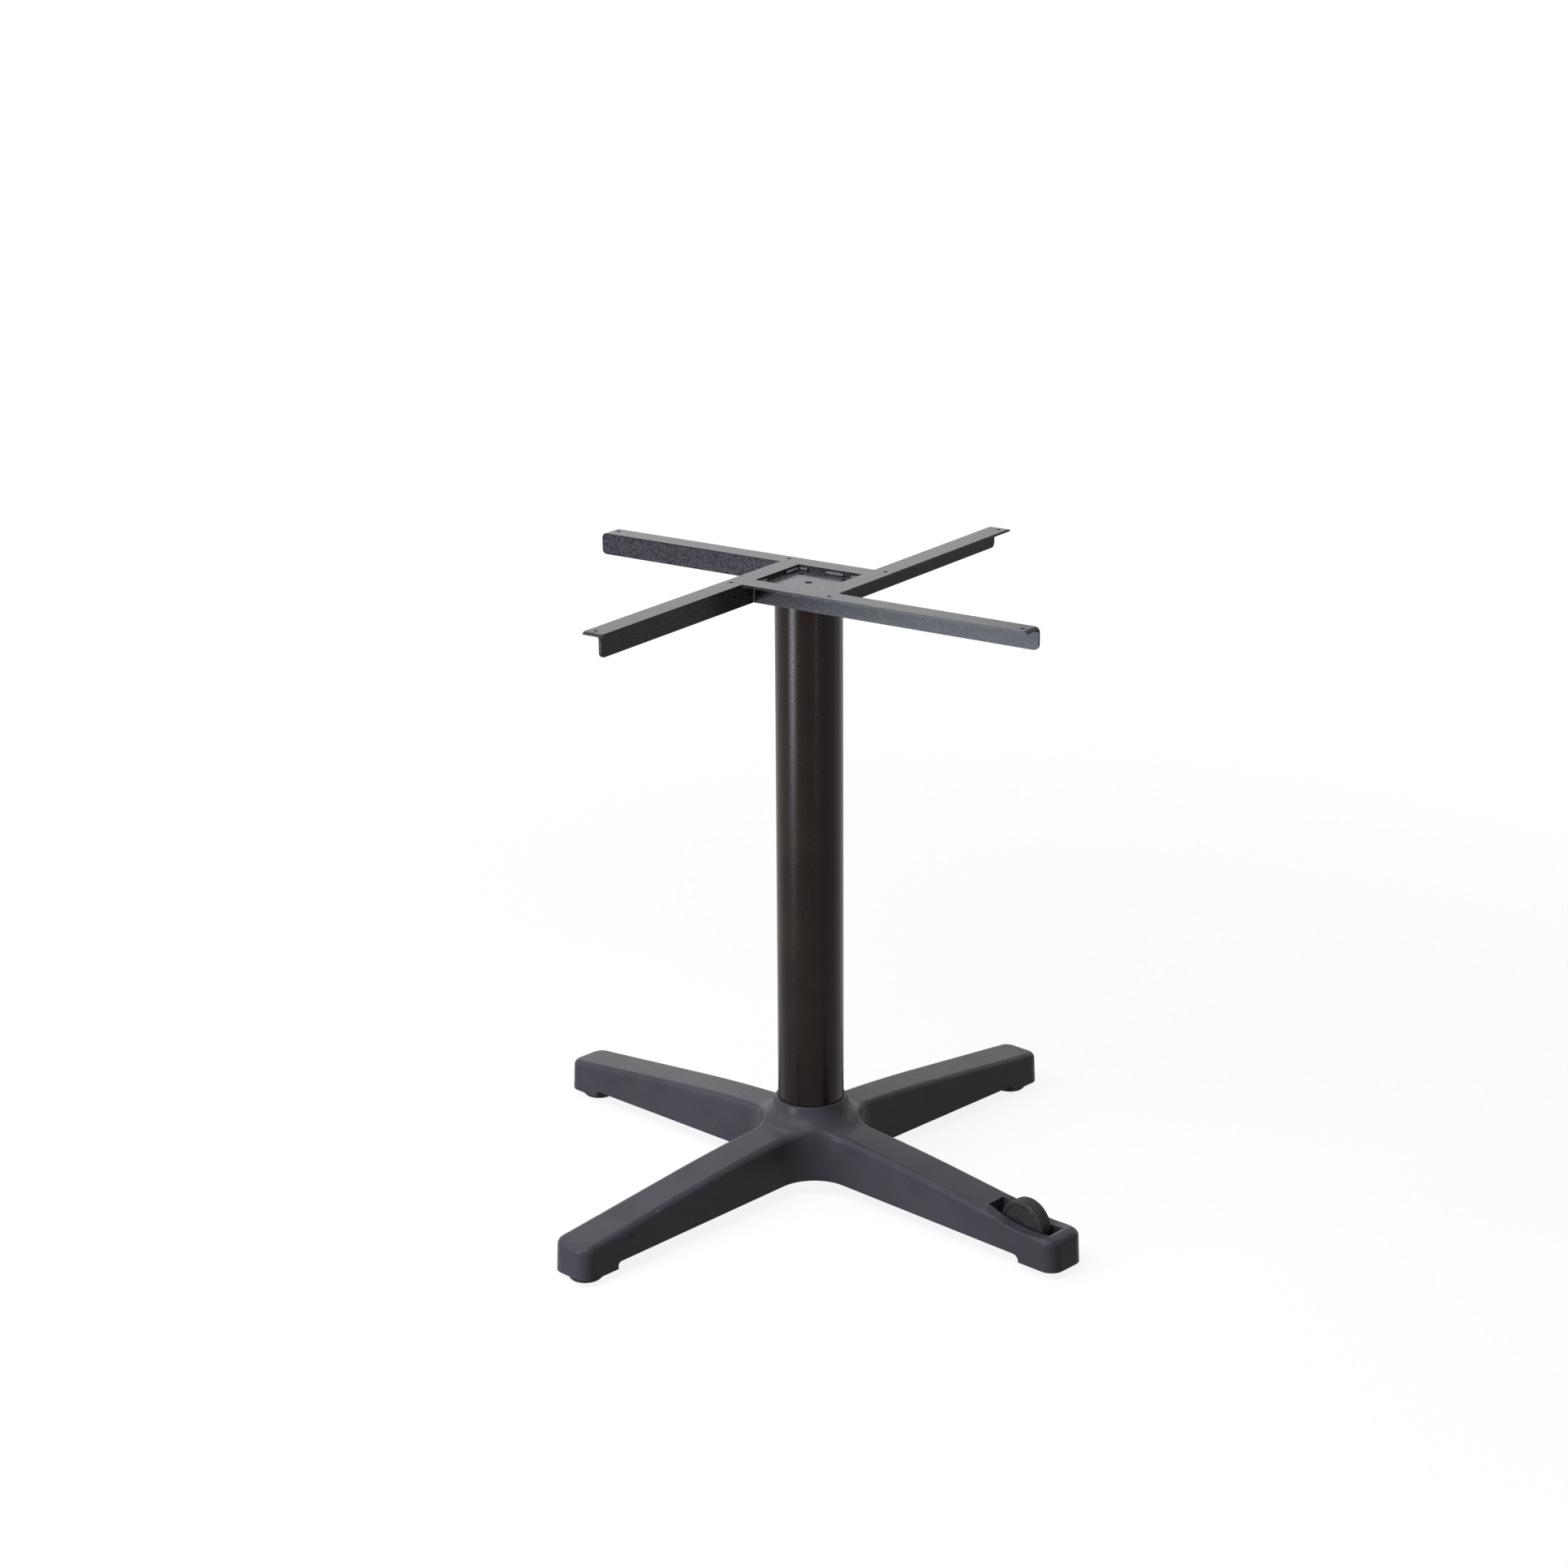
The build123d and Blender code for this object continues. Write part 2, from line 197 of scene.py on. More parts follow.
class Wiring:
    """The nodes of one tree, each made and fed in one call."""

    def __init__(self, tree):
        self.tree = tree

    def node(self, kind, settings=None, inputs=None, output=0):
        node = self.tree.nodes.new(kind)
        for key, value in (settings or {}).items():
            setattr(node, key, value)
        for key, value in (inputs or {}).items():
            self.feed(node.inputs[key], value)
        return None if output is None else Wire(self, node.outputs[output])

    def feed(self, socket, value):
        if isinstance(value, Wire):
            self.tree.links.new(value.socket, socket)
        else:
            socket.default_value = value

    def maths(self, operation, first, second=0.0):
        return self.node("ShaderNodeMath", {"operation": operation}, {0: first, 1: second})

    def vector(self, x=0.0, y=0.0, z=0.0):
        return self.node("ShaderNodeCombineXYZ", inputs={"X": x, "Y": y, "Z": z})


class Finish(Wiring):
    """A material, its shader and the nodes that feed it. Sizes are in metres."""

    def __init__(self, name, **constants):
        self.material = bpy.data.materials.new(name)
        self.material.use_nodes = True
        super().__init__(self.material.node_tree)
        self.shader = self.tree.nodes["Principled BSDF"]
        self.place = self.node("ShaderNodeTexCoord", output="Object")
        for socket, value in constants.items():
            self.shader.inputs[socket.replace("_", " ")].default_value = value

    def set(self, socket, value):
        self.feed(self.shader.inputs[socket], value)

    def noise(self, size, detail=2.0, roughness=0.5, place=None):
        return self.node(
            "ShaderNodeTexNoise",
            inputs={
                "Vector": place or self.place, "Scale": 1 / size, "Detail": detail, "Roughness": roughness,
            },
        )

    def cells(self, size, output="Distance", feature="F1", place=None):
        return self.node(
            "ShaderNodeTexVoronoi", {"feature": feature},
            {"Vector": place or self.place, "Scale": 1 / size}, output,
        )

    def chance(self, size, place=None):
        """One random number for each cell."""
        tint = self.cells(size, "Color", place=place)
        return self.node("ShaderNodeSeparateColor", inputs={"Color": tint}, output="Red")

    def stretched(self, scale):
        return self.node("ShaderNodeMapping", inputs={"Vector": self.place, "Scale": scale})

    def rise(self, value, low, high, to_low=0.0, to_high=1.0):
        return self.node(
            "ShaderNodeMapRange", {"interpolation_type": "SMOOTHSTEP"},
            {"Value": value, "From Min": low, "From Max": high, "To Min": to_low, "To Max": to_high},
        )

    def spot(self, centre, reach):
        """A soft mark: its centre, and how far it reaches along X, Y and Z, in millimetres."""
        away = self.node(
            "ShaderNodeVectorMath", {"operation": "SUBTRACT"},
            {0: self.place, 1: Vector(centre) * MM},
        )
        scaled = self.node(
            "ShaderNodeVectorMath", {"operation": "DIVIDE"}, {0: away, 1: Vector(reach) * MM}
        )
        distance = self.node(
            "ShaderNodeVectorMath", {"operation": "LENGTH"}, {0: scaled}, "Value"
        )
        return self.rise(distance, 1.0, 0.45)

    def blend(self, factor, first, second):
        return self.node(
            "ShaderNodeMix", {"data_type": "RGBA"}, {0: factor, 6: first, 7: second}, 2
        )

    def bump(self, height, depth, strength=1.0):
        inputs = {"Height": height, "Distance": depth * MM, "Strength": strength}
        return self.node("ShaderNodeBump", inputs=inputs)


class Recipe(Wiring):
    """A Geometry Nodes tree with named inputs."""

    def __init__(self, name, **inputs):
        super().__init__(bpy.data.node_groups.new(name, "GeometryNodeTree"))
        face = self.tree.interface
        face.new_socket("Geometry", in_out="INPUT", socket_type="NodeSocketGeometry")
        face.new_socket("Geometry", in_out="OUTPUT", socket_type="NodeSocketGeometry")
        self.sockets = {}
        for label, kind in inputs.items():
            self.sockets[label] = face.new_socket(
                label.replace("_", " ").capitalize(), in_out="INPUT", socket_type="NodeSocket" + kind
            )
        self.entry = self.tree.nodes.new("NodeGroupInput")
        self.start = Wire(self, self.entry.outputs[0])

    def take(self, label):
        return Wire(self, self.entry.outputs[self.sockets[label].name])

    def finish(self, geometry, material):
        """Turn instances into real faces and give them the material."""
        real = self.node("GeometryNodeRealizeInstances", inputs={0: geometry})
        coated = self.node("GeometryNodeSetMaterial", inputs={"Geometry": real, "Material": material})
        end = self.tree.nodes.new("NodeGroupOutput")
        self.tree.links.new(coated.socket, end.inputs[0])

    def apply(self, piece, **values):
        modifier = piece.modifiers.new(self.tree.name, "NODES")
        modifier.node_group = self.tree
        for label, value in values.items():
            modifier[self.sockets[label].identifier] = value
        bake(piece)


def tone(rgb, factor):
    """A colour made lighter or darker."""
    return (*(min(channel * factor, 1.0) for channel in rgb), 1)


def dress(names, finish):
    for name in names:
        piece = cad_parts[name]
        piece.data.materials.clear()
        piece.data.materials.append(finish.material)


def new_piece(name, mesh, finish=None):
    piece = bpy.data.objects.new(name, mesh)
    bpy.context.scene.collection.objects.link(piece)
    if finish:
        mesh.materials.append(finish.material)
    return piece


def bake(piece):
    """Apply all modifiers into a plain mesh."""
    graph = bpy.context.evaluated_depsgraph_get()
    mesh = bpy.data.meshes.new_from_object(piece.evaluated_get(graph))
    piece.modifiers.clear()
    piece.data = mesh


def merged_mesh(node, same_place=0.002 * MM, flat=math.radians(0.3)):
    """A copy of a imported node's mesh with its loose triangles joined into flat faces."""
    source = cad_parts[node].data
    mesh = bpy.data.meshes.new("copy_of_" + node)
    corners = [vertex.co.copy() for vertex in source.vertices]
    mesh.from_pydata(corners, [], [list(face.vertices) for face in source.polygons])
    work = bmesh.new()
    work.from_mesh(mesh)
    bmesh.ops.remove_doubles(work, verts=work.verts, dist=same_place)
    bmesh.ops.dissolve_limit(work, angle_limit=flat, verts=work.verts, edges=work.edges)
    work.to_mesh(mesh)
    work.free()
    return mesh


def soften(piece, width, share, angle=40):
    """Round the sharp edges and keep the flat faces flat. `share` gives an edge its part of the width."""
    work = bmesh.new()
    work.from_mesh(piece.data)
    weights = work.edges.layers.float.new("bevel_weight_edge")
    for edge in work.edges:
        if len(edge.link_faces) == 2 and edge.calc_face_angle() > math.radians(angle):
            edge[weights] = share(edge)
    work.to_mesh(piece.data)
    work.free()
    rounding = piece.modifiers.new("rounding", "BEVEL")
    rounding.width = width
    rounding.segments = 3
    rounding.limit_method = "WEIGHT"
    flat_faces = piece.modifiers.new("flat_faces", "WEIGHTED_NORMAL")
    flat_faces.weight = 100
    piece.data.polygons.foreach_set("use_smooth", [True] * len(piece.data.polygons))
    bake(piece)


def lathe(profile, segments):
    """A solid turned about the Y axis: the profile is (radius, place along Y) in millimetres."""
    work = bmesh.new()
    rings = []
    for radius, along in profile:
        steps = segments if radius > 0 else 1
        rings.append([
            work.verts.new((
                radius * MM * math.cos(2 * math.pi * step / segments),
                along * MM,
                radius * MM * math.sin(2 * math.pi * step / segments),
            ))
            for step in range(steps)
        ])
    for inner, outer in zip(rings, rings[1:]):
        for step in range(segments):
            following = (step + 1) % segments
            corners = [inner[step % len(inner)], outer[step % len(outer)],
                       outer[following % len(outer)], inner[following % len(inner)]]
            work.faces.new(list(dict.fromkeys(corners)))
    bmesh.ops.recalc_face_normals(work, faces=work.faces)
    mesh = bpy.data.meshes.new("turned")
    work.to_mesh(mesh)
    work.free()
    return mesh


def cut(piece, tool_mesh, operation):
    """Join a tool's shape to the piece or take it away."""
    tool = new_piece("tool", tool_mesh)
    step = piece.modifiers.new(operation, "BOOLEAN")
    step.operation = operation
    step.solver = "EXACT"
    step.object = tool
    bake(piece)
    bpy.data.objects.remove(tool)


def moulded_plastic(settings):
    """Matte dark grey moulding: fine grain, faint flow clouds, small rubs and ticks."""
    finish = Finish("moulded_plastic", IOR=1.46, Specular_IOR_Level=0.10)
    shade = settings.colour
    clouds = finish.noise(70 * MM, 3)
    fine = finish.noise(7 * MM, 4, 0.6)
    grain = finish.noise(settings.grain, 3, 0.6)
    body = finish.blend(finish.rise(clouds, 0.35, 0.65), tone(shade, 0.90), tone(shade, 1.14))
    body = finish.blend(finish.rise(grain, 0.35, 0.7) * 0.35, body, tone(shade, 1.5))
    chosen = finish.rise(finish.chance(settings.rub), 0.60, 0.62)
    rubs = finish.rise(finish.cells(settings.rub), 0.045, 0.020) * chosen
    streaks = finish.stretched((1, 1, 0.35))
    scuffs = finish.rise(finish.noise(16 * MM, 5, 0.65, streaks), 0.66, 0.74)
    body = finish.blend(scuffs * 0.30, body, tone(shade, 2.6))
    body = finish.blend(rubs * 0.7, body, (0.20, 0.19, 0.19, 1))
    ticks = finish.spot((27, -310.8, 33.0), (3, 1.0, 0.8))
    for centre, reach in (
        ((27, -225.3, 26.0), (3, 1.0, 2.0)),
        ((27, -208.0, 38.2), (3, 0.8, 2.4)),
        ((27, -264.5, 61.7), (5, 1.1, 1.1)),
        ((27, -191.1, 25.8), (3, 0.9, 0.9)),
        ((27, -286.3, 22.4), (3, 2.4, 0.9)),
    ):
        ticks = ticks + finish.spot(centre, reach)
    body = finish.blend(ticks * 0.55, body, (0.16, 0.15, 0.16, 1))
    stain = finish.spot((27, -313.6, 41.3), (6, 5.5, 5.0))
    finish.set("Base Color", finish.blend(stain * 0.8, body, tone(shade, 0.15)))
    finish.set("Roughness", finish.rise(fine, 0.3, 0.7, 0.28, 0.36) + scuffs * 0.1)
    finish.set("Normal", finish.bump(grain, 0.10, 0.7))
    return finish


def textured_coat(settings):
    """Brown-black coat with a fine orange-peel texture, nicked on its lower half."""
    finish = Finish("textured_coat", IOR=1.5, Specular_IOR_Level=0.17, Specular_Tint=(1.0, 0.86, 0.84, 1))
    shade = settings.colour
    lumps = finish.noise(settings.texture, 2, 0.5)
    warm = finish.noise(90 * MM, 2)
    body = finish.blend(finish.rise(lumps, 0.35, 0.7), tone(shade, 0.6), tone(shade, 1.2))
    body = finish.blend(finish.rise(warm, 0.4, 0.7) * 0.5, body, (0.017, 0.0115, 0.0080, 1))
    height = finish.node("ShaderNodeSeparateXYZ", inputs={"Vector": finish.place}, output="Z")
    upright = finish.stretched((1, 1, 0.45))
    chosen = finish.rise(finish.chance(settings.nick, upright), 0.72, 0.74)
    nicks = finish.rise(finish.cells(settings.nick, place=upright), 0.13, 0.07) * chosen
    patches = finish.rise(finish.noise(38 * MM, 2), 0.50, 0.60)
    nicks = nicks * patches * finish.rise(height, 0.34, 0.16)
    finish.set("Base Color", finish.blend(nicks * 0.85, body, (0.42, 0.38, 0.34, 1)))
    finish.set("Roughness", finish.rise(lumps, 0.3, 0.7, 0.23, 0.31))
    finish.set("Normal", finish.bump(lumps, 0.10, 0.8))
    return finish


def hammered_coat(settings):
    """Graphite coat on the irons and plate: small dimples, and bright specks that are painted glints, fading
    out on the tops.
    """
    finish = Finish("hammered_coat", IOR=1.5, Specular_IOR_Level=0.08)
    shade = settings.colour
    dimples = finish.cells(settings.hammer, feature="SMOOTH_F1")
    swirl = finish.noise(settings.hammer * 0.8, 2)
    height = finish.node("ShaderNodeSeparateXYZ", inputs={"Vector": finish.place}, output="Z")
    # The bright specks are painted glints for the coat's sparkle, kept off the top faces.
    below_top = finish.rise(height, 0.7195, 0.7175, 0.15, 1.0)
    glint_cells = finish.chance(settings.hammer * 0.42)
    painted_glints = finish.rise(glint_cells, 0.45, 1.0) * below_top
    body = finish.blend(finish.rise(dimples, 0.1, 0.6), tone(shade, 1.2), tone(shade, 0.6))
    finish.set("Base Color", finish.blend(painted_glints * 0.7, body, (0.100, 0.100, 0.122, 1)))
    finish.set("Roughness", finish.rise(swirl, 0.3, 0.7, 0.21, 0.26))
    finish.set("Normal", finish.bump(dimples + swirl, 0.03, 0.4))
    return finish


def glossy_weld():
    """Black coat run glossy over lumpy weld metal, with painted shade in the hollows of its bump."""
    finish = Finish("glossy_weld", IOR=1.5)
    relief_and_hollow_shade = finish.noise(2.5 * MM, 3)
    # Darker where the bump is low: painted shade in the hollows.
    finish.set("Base Color", finish.blend(relief_and_hollow_shade, (0.006, 0.006, 0.007, 1), (0.045, 0.044, 0.048, 1)))
    finish.set("Roughness", finish.rise(relief_and_hollow_shade, 0.3, 0.7, 0.10, 0.28))
    finish.set("Normal", finish.bump(relief_and_hollow_shade, 0.12, 0.5))
    return finish


def black_plastic():
    """Black plastic of the glides, a little dusty."""
    finish = Finish("black_plastic", IOR=1.46, Specular_IOR_Level=0.2)
    fine = finish.noise(1.5 * MM, 3)
    dust = finish.rise(finish.noise(8 * MM, 4, 0.6), 0.5, 0.75)
    body = finish.blend(fine, (0.006, 0.006, 0.006, 1), (0.014, 0.014, 0.014, 1))
    finish.set("Base Color", finish.blend(dust * 0.3, body, (0.05, 0.048, 0.045, 1)))
    finish.set("Roughness", finish.rise(fine, 0.3, 0.7, 0.32, 0.45))
    finish.set("Normal", finish.bump(fine, 0.04, 0.4))
    return finish


def charcoal_plastic():
    """Charcoal plastic of the levelling wheel, with patches of dust."""
    finish = Finish("charcoal_plastic", IOR=1.46, Specular_IOR_Level=0.16)
    fine = finish.noise(1.2 * MM, 4, 0.6)
    dust = finish.rise(finish.noise(6 * MM, 4, 0.6), 0.50, 0.72)
    body = finish.blend(fine, (0.017, 0.0155, 0.017, 1), (0.035, 0.032, 0.034, 1))
    finish.set("Base Color", finish.blend(dust * 0.35, body, (0.075, 0.066, 0.058, 1)))
    finish.set("Roughness", finish.rise(fine, 0.3, 0.7, 0.36, 0.52))
    finish.set("Normal", finish.bump(fine, 0.05, 0.5))
    return finish


def zinc_plate():
    """Zinc on the screws, plates and axle inside."""
    finish = Finish("zinc_plate")
    tint = finish.chance(4 * MM)
    smear = finish.noise(12 * MM, 4)
    body = finish.blend(tint, (0.42, 0.43, 0.44, 1), (0.60, 0.60, 0.58, 1))
    finish.set("Base Color", finish.blend(finish.rise(smear, 0.5, 0.7) * 0.4, body, (0.28, 0.27, 0.25, 1)))
    finish.set("Metallic", finish.rise(smear, 0.5, 0.8, 1.0, 0.8))
    finish.set("Roughness", finish.rise(smear, 0.3, 0.7, 0.28, 0.44))
    return finish


class TABLEBASE_OT_foot(bpy.types.Operator):
    """Finish the cross foot, its glides and the steel inside it"""

    bl_idname = "tablebase.foot"
    bl_label = "Cross Foot"

    def execute(self, context):
        dress(["base_moulding"], moulded_plastic(context.scene.table_base_moulding))
        dress(GLIDES, black_plastic())
        dress(HIDDEN_STEEL, zinc_plate())
        return {"FINISHED"}


class TABLEBASE_OT_column(bpy.types.Operator):
    """Finish the column"""

    bl_idname = "tablebase.column"
    bl_label = "Column"

    def execute(self, context):
        dress(["column_tube"], textured_coat(context.scene.table_base_column))
        return {"FINISHED"}


class TABLEBASE_OT_top_frame(bpy.types.Operator):
    """Round the edges of the irons and the plate and coat them"""

    bl_idname = "tablebase.top_frame"
    bl_label = "Top Frame"

    eased = 0.35
    slack = 0.1
    shortest_round = 0.2 * IRON_LEG

    def execute(self, context):
        settings = context.scene.table_base_frame
        coat = hammered_coat(settings)
        for turn, node in enumerate(IRONS + ["top_plate"]):
            piece = new_piece("coated_" + node, merged_mesh(node), coat)
            soften(piece, settings.edge, self.edge_share(node, turn))
            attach(piece, "base")
            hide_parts(node)
        return {"FINISHED"}

    def edge_share(self, node, turn):
        """The free edges of both legs are full rounds, all other edges only eased."""
        if node not in IRONS:
            return lambda edge: self.eased
        outward = Matrix.Rotation(FRAME_TWIST + turn * math.pi / 2, 3, "Z") @ Vector((0, -1, 0))
        free_edge = (half_plate() + IRON_LEG - self.slack) * MM
        free_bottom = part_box(node)[0].z + self.slack * MM

        def share(edge):
            middle = (edge.verts[0].co + edge.verts[1].co) / 2
            free = middle.dot(outward) > free_edge or middle.z < free_bottom
            return 1.0 if free and edge.calc_length() > self.shortest_round * MM else self.eased

        return share


class TABLEBASE_OT_welds(bpy.types.Operator):
    """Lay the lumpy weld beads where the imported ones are"""

    bl_idname = "tablebase.welds"
    bl_label = "Welds"

    plate_bead = 4.5
    plate_bead_margin = 1.5
    end_bead = 4.0
    end_bead_margin = 1.0
    column_bead = 3.0
    leg_thickness = 3.0
    root_radius = 2.5
    end_gap = 2.0
    column_arc = math.radians(50)
    arc_steps = 8
    # How far a bead's line lies out of its corner, in widths of the bead
    depth = 0.3
    # For each side of the plate, the beads' places along it and their lengths
    plate_stitches = [
        [(-20, 22), (20, 22)],
        [(-20, 22), (20, 22)],
        [(-35, 11), (-7.5, 23), (34.5, 9)],
        [(-27.5, 19), (28.5, 12)],
    ]
    lump_radius = 0.62
    smallest_lump, largest_lump = 0.86, 1.12
    pit_size = 3.2
    pit_depth = 0.9

    def execute(self, context):
        settings = context.scene.table_base_welds
        coat = glossy_weld()
        piece = new_piece("weld_lumps", self.paths())
        self.recipe().apply(
            piece, pitch=settings.pitch, voxel=settings.voxel, seed=settings.seed, coat=coat.material
        )
        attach(piece, "base")
        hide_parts("weld_beads")
        return {"FINISHED"}

    def paths(self):
        """The line that each bead follows, with the bead's width on each point."""
        heel = half_plate()
        low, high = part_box("top_plate")
        plate_bottom, plate_top = low.z / MM, high.z / MM
        table_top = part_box(IRONS[0])[1].z / MM
        column_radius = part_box("column_tube")[1].x / MM
        points, edges, widths = [], [], []

        def lay(width, places):
            for number, place in enumerate(places):
                if number:
                    edges.append((len(points) - 1, len(points)))
                points.append(place * MM)
                widths.append(width * MM)

        for quarter, stitches in enumerate(self.plate_stitches):
            turn = Matrix.Rotation(FRAME_TWIST + quarter * math.pi / 2, 3, "Z")
            along, outward = turn @ Vector((1, 0, 0)), turn @ Vector((0, -1, 0))
            up = Vector((0, 0, 1))
            inset = self.depth * self.plate_bead
            line = outward * (heel - inset) + up * (plate_top + inset)
            for middle, reach in stitches:
                half = reach / 2 - self.plate_bead_margin
                lay(self.plate_bead, [line + along * end for end in (middle - half, middle + half)])
            inset = self.depth * self.end_bead
            corner = along * (inset - heel) + outward * (heel + self.leg_thickness + inset)
            upper = table_top - self.leg_thickness - self.root_radius - self.end_bead_margin
            lower = table_top - IRON_LEG + self.end_gap + self.end_bead_margin
            lay(self.end_bead, [corner + up * upper, corner + up * lower])
            inset = self.depth * self.column_bead
            arc = []
            for step in range(self.arc_steps + 1):
                angle = self.column_arc * (step / self.arc_steps - 0.5)
                spoke = Matrix.Rotation(angle, 3, "Z") @ outward
                arc.append(spoke * (column_radius + inset) + up * (plate_bottom - inset))
            lay(self.column_bead, arc)
        mesh = bpy.data.meshes.new("bead_paths")
        mesh.from_pydata(points, edges, [])
        mesh.attributes.new("bead", "FLOAT", "POINT").data.foreach_set("value", widths)
        return mesh

    def recipe(self):
        """Lumps strung along each path, melted together and roughened."""
        tree = Recipe("bead_lumps", pitch="Float", voxel="Float", seed="Int", coat="Material")
        curve = tree.node("GeometryNodeMeshToCurve", inputs={"Mesh": tree.start})
        points = tree.node(
            "GeometryNodeResampleCurve", {"mode": "LENGTH"}, {"Curve": curve, "Length": tree.take("pitch")}
        )
        lump = tree.node("GeometryNodeMeshIcoSphere", inputs={"Radius": self.lump_radius, "Subdivisions": 3})
        width = tree.node("GeometryNodeInputNamedAttribute", {"data_type": "FLOAT"}, {"Name": "bead"})
        swell = tree.node(
            "FunctionNodeRandomValue", {"data_type": "FLOAT"},
            {"Min": self.smallest_lump, "Max": self.largest_lump, "Seed": tree.take("seed")}, 1,
        )
        strung = tree.node("GeometryNodeInstanceOnPoints", inputs={
            "Points": points, "Instance": lump, "Scale": width * swell,
        })
        solid = tree.node("GeometryNodeRealizeInstances", inputs={0: strung})
        volume = tree.node(
            "GeometryNodeMeshToVolume", {"resolution_mode": "VOXEL_SIZE"},
            {"Mesh": solid, "Voxel Size": tree.take("voxel"), "Interior Band Width": 3 * MM},
        )
        skin = tree.node(
            "GeometryNodeVolumeToMesh", {"resolution_mode": "VOXEL_SIZE"},
            {"Volume": volume, "Voxel Size": tree.take("voxel"), "Threshold": 0.1},
        )
        pits = tree.node(
            "ShaderNodeTexNoise", inputs={"Scale": 1 / (self.pit_size * MM), "Detail": 2.0}, output="Fac"
        )
        push = (pits - 0.5) * (self.pit_depth * MM)
        normal = tree.node("GeometryNodeInputNormal")
        offset = tree.node("ShaderNodeVectorMath", {"operation": "SCALE"}, {0: normal, "Scale": push})
        moved = tree.node("GeometryNodeSetPosition", inputs={"Geometry": skin, "Offset": offset})
        smooth = tree.node("GeometryNodeSetShadeSmooth", inputs={"Geometry": moved})
        tree.finish(smooth, tree.take("coat"))
        return tree


class TABLEBASE_OT_wheel(bpy.types.Operator):
    """Turn the levelling wheel with its knurled tread, rims and raised numerals"""

    bl_idname = "tablebase.wheel"
    bl_label = "Levelling Wheel"

    radius = 29.4
    half_width = 8.5
    recess = 1.2
    dish = 24.7
    throw = 10.0
    hub_radius = 8.0
    hub_half_width = 12.5
    bore_radius = 4.06
    mark = (-6.6, 8.1)
    mark_radius = 1.1
    mark_depth = 2.0
    tread_edge = 1.2
    tick_radius = 22.9
    smooth_below = math.radians(38)

    def execute(self, context):
        settings = context.scene.table_base_wheel
        plastic = charcoal_plastic()
        tread = self.radius - settings.tooth_height / MM
        piece = new_piece("dial_wheel", lathe(self.profile(tread), 128))
        self.bore(piece)
        self.add_numerals(piece, settings)
        self.recipe().apply(
            piece,
            tread_radius=tread * MM,
            tread_width=2 * (self.half_width - self.tread_edge) * MM,
            teeth=settings.teeth,
            rows=settings.rows,
            tooth_height=settings.tooth_height,
            ticks=settings.numerals,
            tick_radius=self.tick_radius * MM,
            tick_angle=math.pi / 2 - settings.tenth_angle + math.pi / settings.numerals,
            face=-(self.half_width - self.recess) * MM,
            coat=plastic.material,
        )
        piece.data.set_sharp_from_angle(angle=self.smooth_below)
        piece.data.transform(Matrix.Translation(wheel_centre()))
        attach(piece, "wheel")
        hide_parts("levelling_wheel")
        return {"FINISHED"}

    def profile(self, tread):
        """Dish floor, ridge, groove, rounded shoulder and tread, the same on both sides."""
        floor, face = self.half_width - self.recess, self.half_width
        dish = self.dish
        side = [
            (0, floor), (dish - 0.9, floor), (dish - 0.4, floor + 0.12), (dish - 0.1, floor + 0.45),
            (dish + 0.05, face - 0.25), (dish + 0.3, face), (dish + 1.1, face), (dish + 1.3, face - 0.25),
            (dish + 1.5, face - 0.55), (dish + 1.9, face - 0.55), (dish + 2.1, face - 0.3),
            (dish + 2.35, face - 0.12), (dish + 3.0, face - 0.15),
            (tread - 0.75, face - 0.4), (tread - 0.25, face - 0.85), (tread, face - 1.4),
        ]
        return [(radius, -along) for radius, along in side] + side[::-1]

    def bore(self, piece):
        """Add the hub on the axle's line, then cut the axle bore and the index mark."""
        reach, edge = self.hub_half_width, 0.4
        hub = [(0, -reach), (self.hub_radius - edge, -reach), (self.hub_radius, edge - reach),
               (self.hub_radius, reach - edge), (self.hub_radius - edge, reach), (0, reach)]
        through = reach + 1
        drill = [(0, -through), (self.bore_radius, -through), (self.bore_radius, through), (0, through)]
        floor = self.half_width - self.recess
        pit = [(0, -floor - 1), (self.mark_radius, -floor - 1), (self.mark_radius, self.mark_depth - floor),
               (0, self.mark_depth - floor)]
        for shape, operation, place in (
            (hub, "UNION", (0, 0, -self.throw)),
            (drill, "DIFFERENCE", (0, 0, -self.throw)),
            (pit, "DIFFERENCE", (self.mark[0], 0, self.mark[1])),
        ):
            tool = lathe(shape, 48)
            tool.transform(Matrix.Translation(Vector(place) * MM))
            cut(piece, tool, operation)

    def add_numerals(self, piece, settings):
        work = bmesh.new()
        work.from_mesh(piece.data)
        for number in range(1, settings.numerals + 1):
            angle = settings.tenth_angle - (number - 10) * 2 * math.pi / settings.numerals
            radial = Vector((math.cos(angle), 0, math.sin(angle)))
            across = Vector((math.sin(angle), 0, -math.cos(angle)))
            out = Vector((0, -1, 0))
            place = radial * settings.numeral_radius + out * (self.half_width - self.recess) * MM
            mesh = self.numeral(str(number))
            turn = Matrix([[across[i], radial[i], out[i]] for i in range(3)]).to_4x4()
            size = Matrix.Diagonal((*[settings.numeral / 0.72] * 2, settings.numeral * 0.45, 1))
            mesh.transform(Matrix.Translation(place) @ turn @ size)
            work.from_mesh(mesh)
        work.to_mesh(piece.data)
        work.free()

    def numeral(self, text):
        curve = bpy.data.curves.new("numeral", "FONT")
        curve.body = text
        curve.align_x = "CENTER"
        curve.align_y = "CENTER"
        curve.extrude = 0.16
        curve.bevel_depth = 0.012
        curve.resolution_u = 4
        holder = new_piece("numeral", curve)
        graph = bpy.context.evaluated_depsgraph_get()
        mesh = bpy.data.meshes.new_from_object(holder.evaluated_get(graph))
        bpy.data.objects.remove(holder)
        work = bmesh.new()
        work.from_mesh(mesh)
        bmesh.ops.remove_doubles(work, verts=work.verts, dist=1e-5)
        work.to_mesh(mesh)
        work.free()
        return mesh

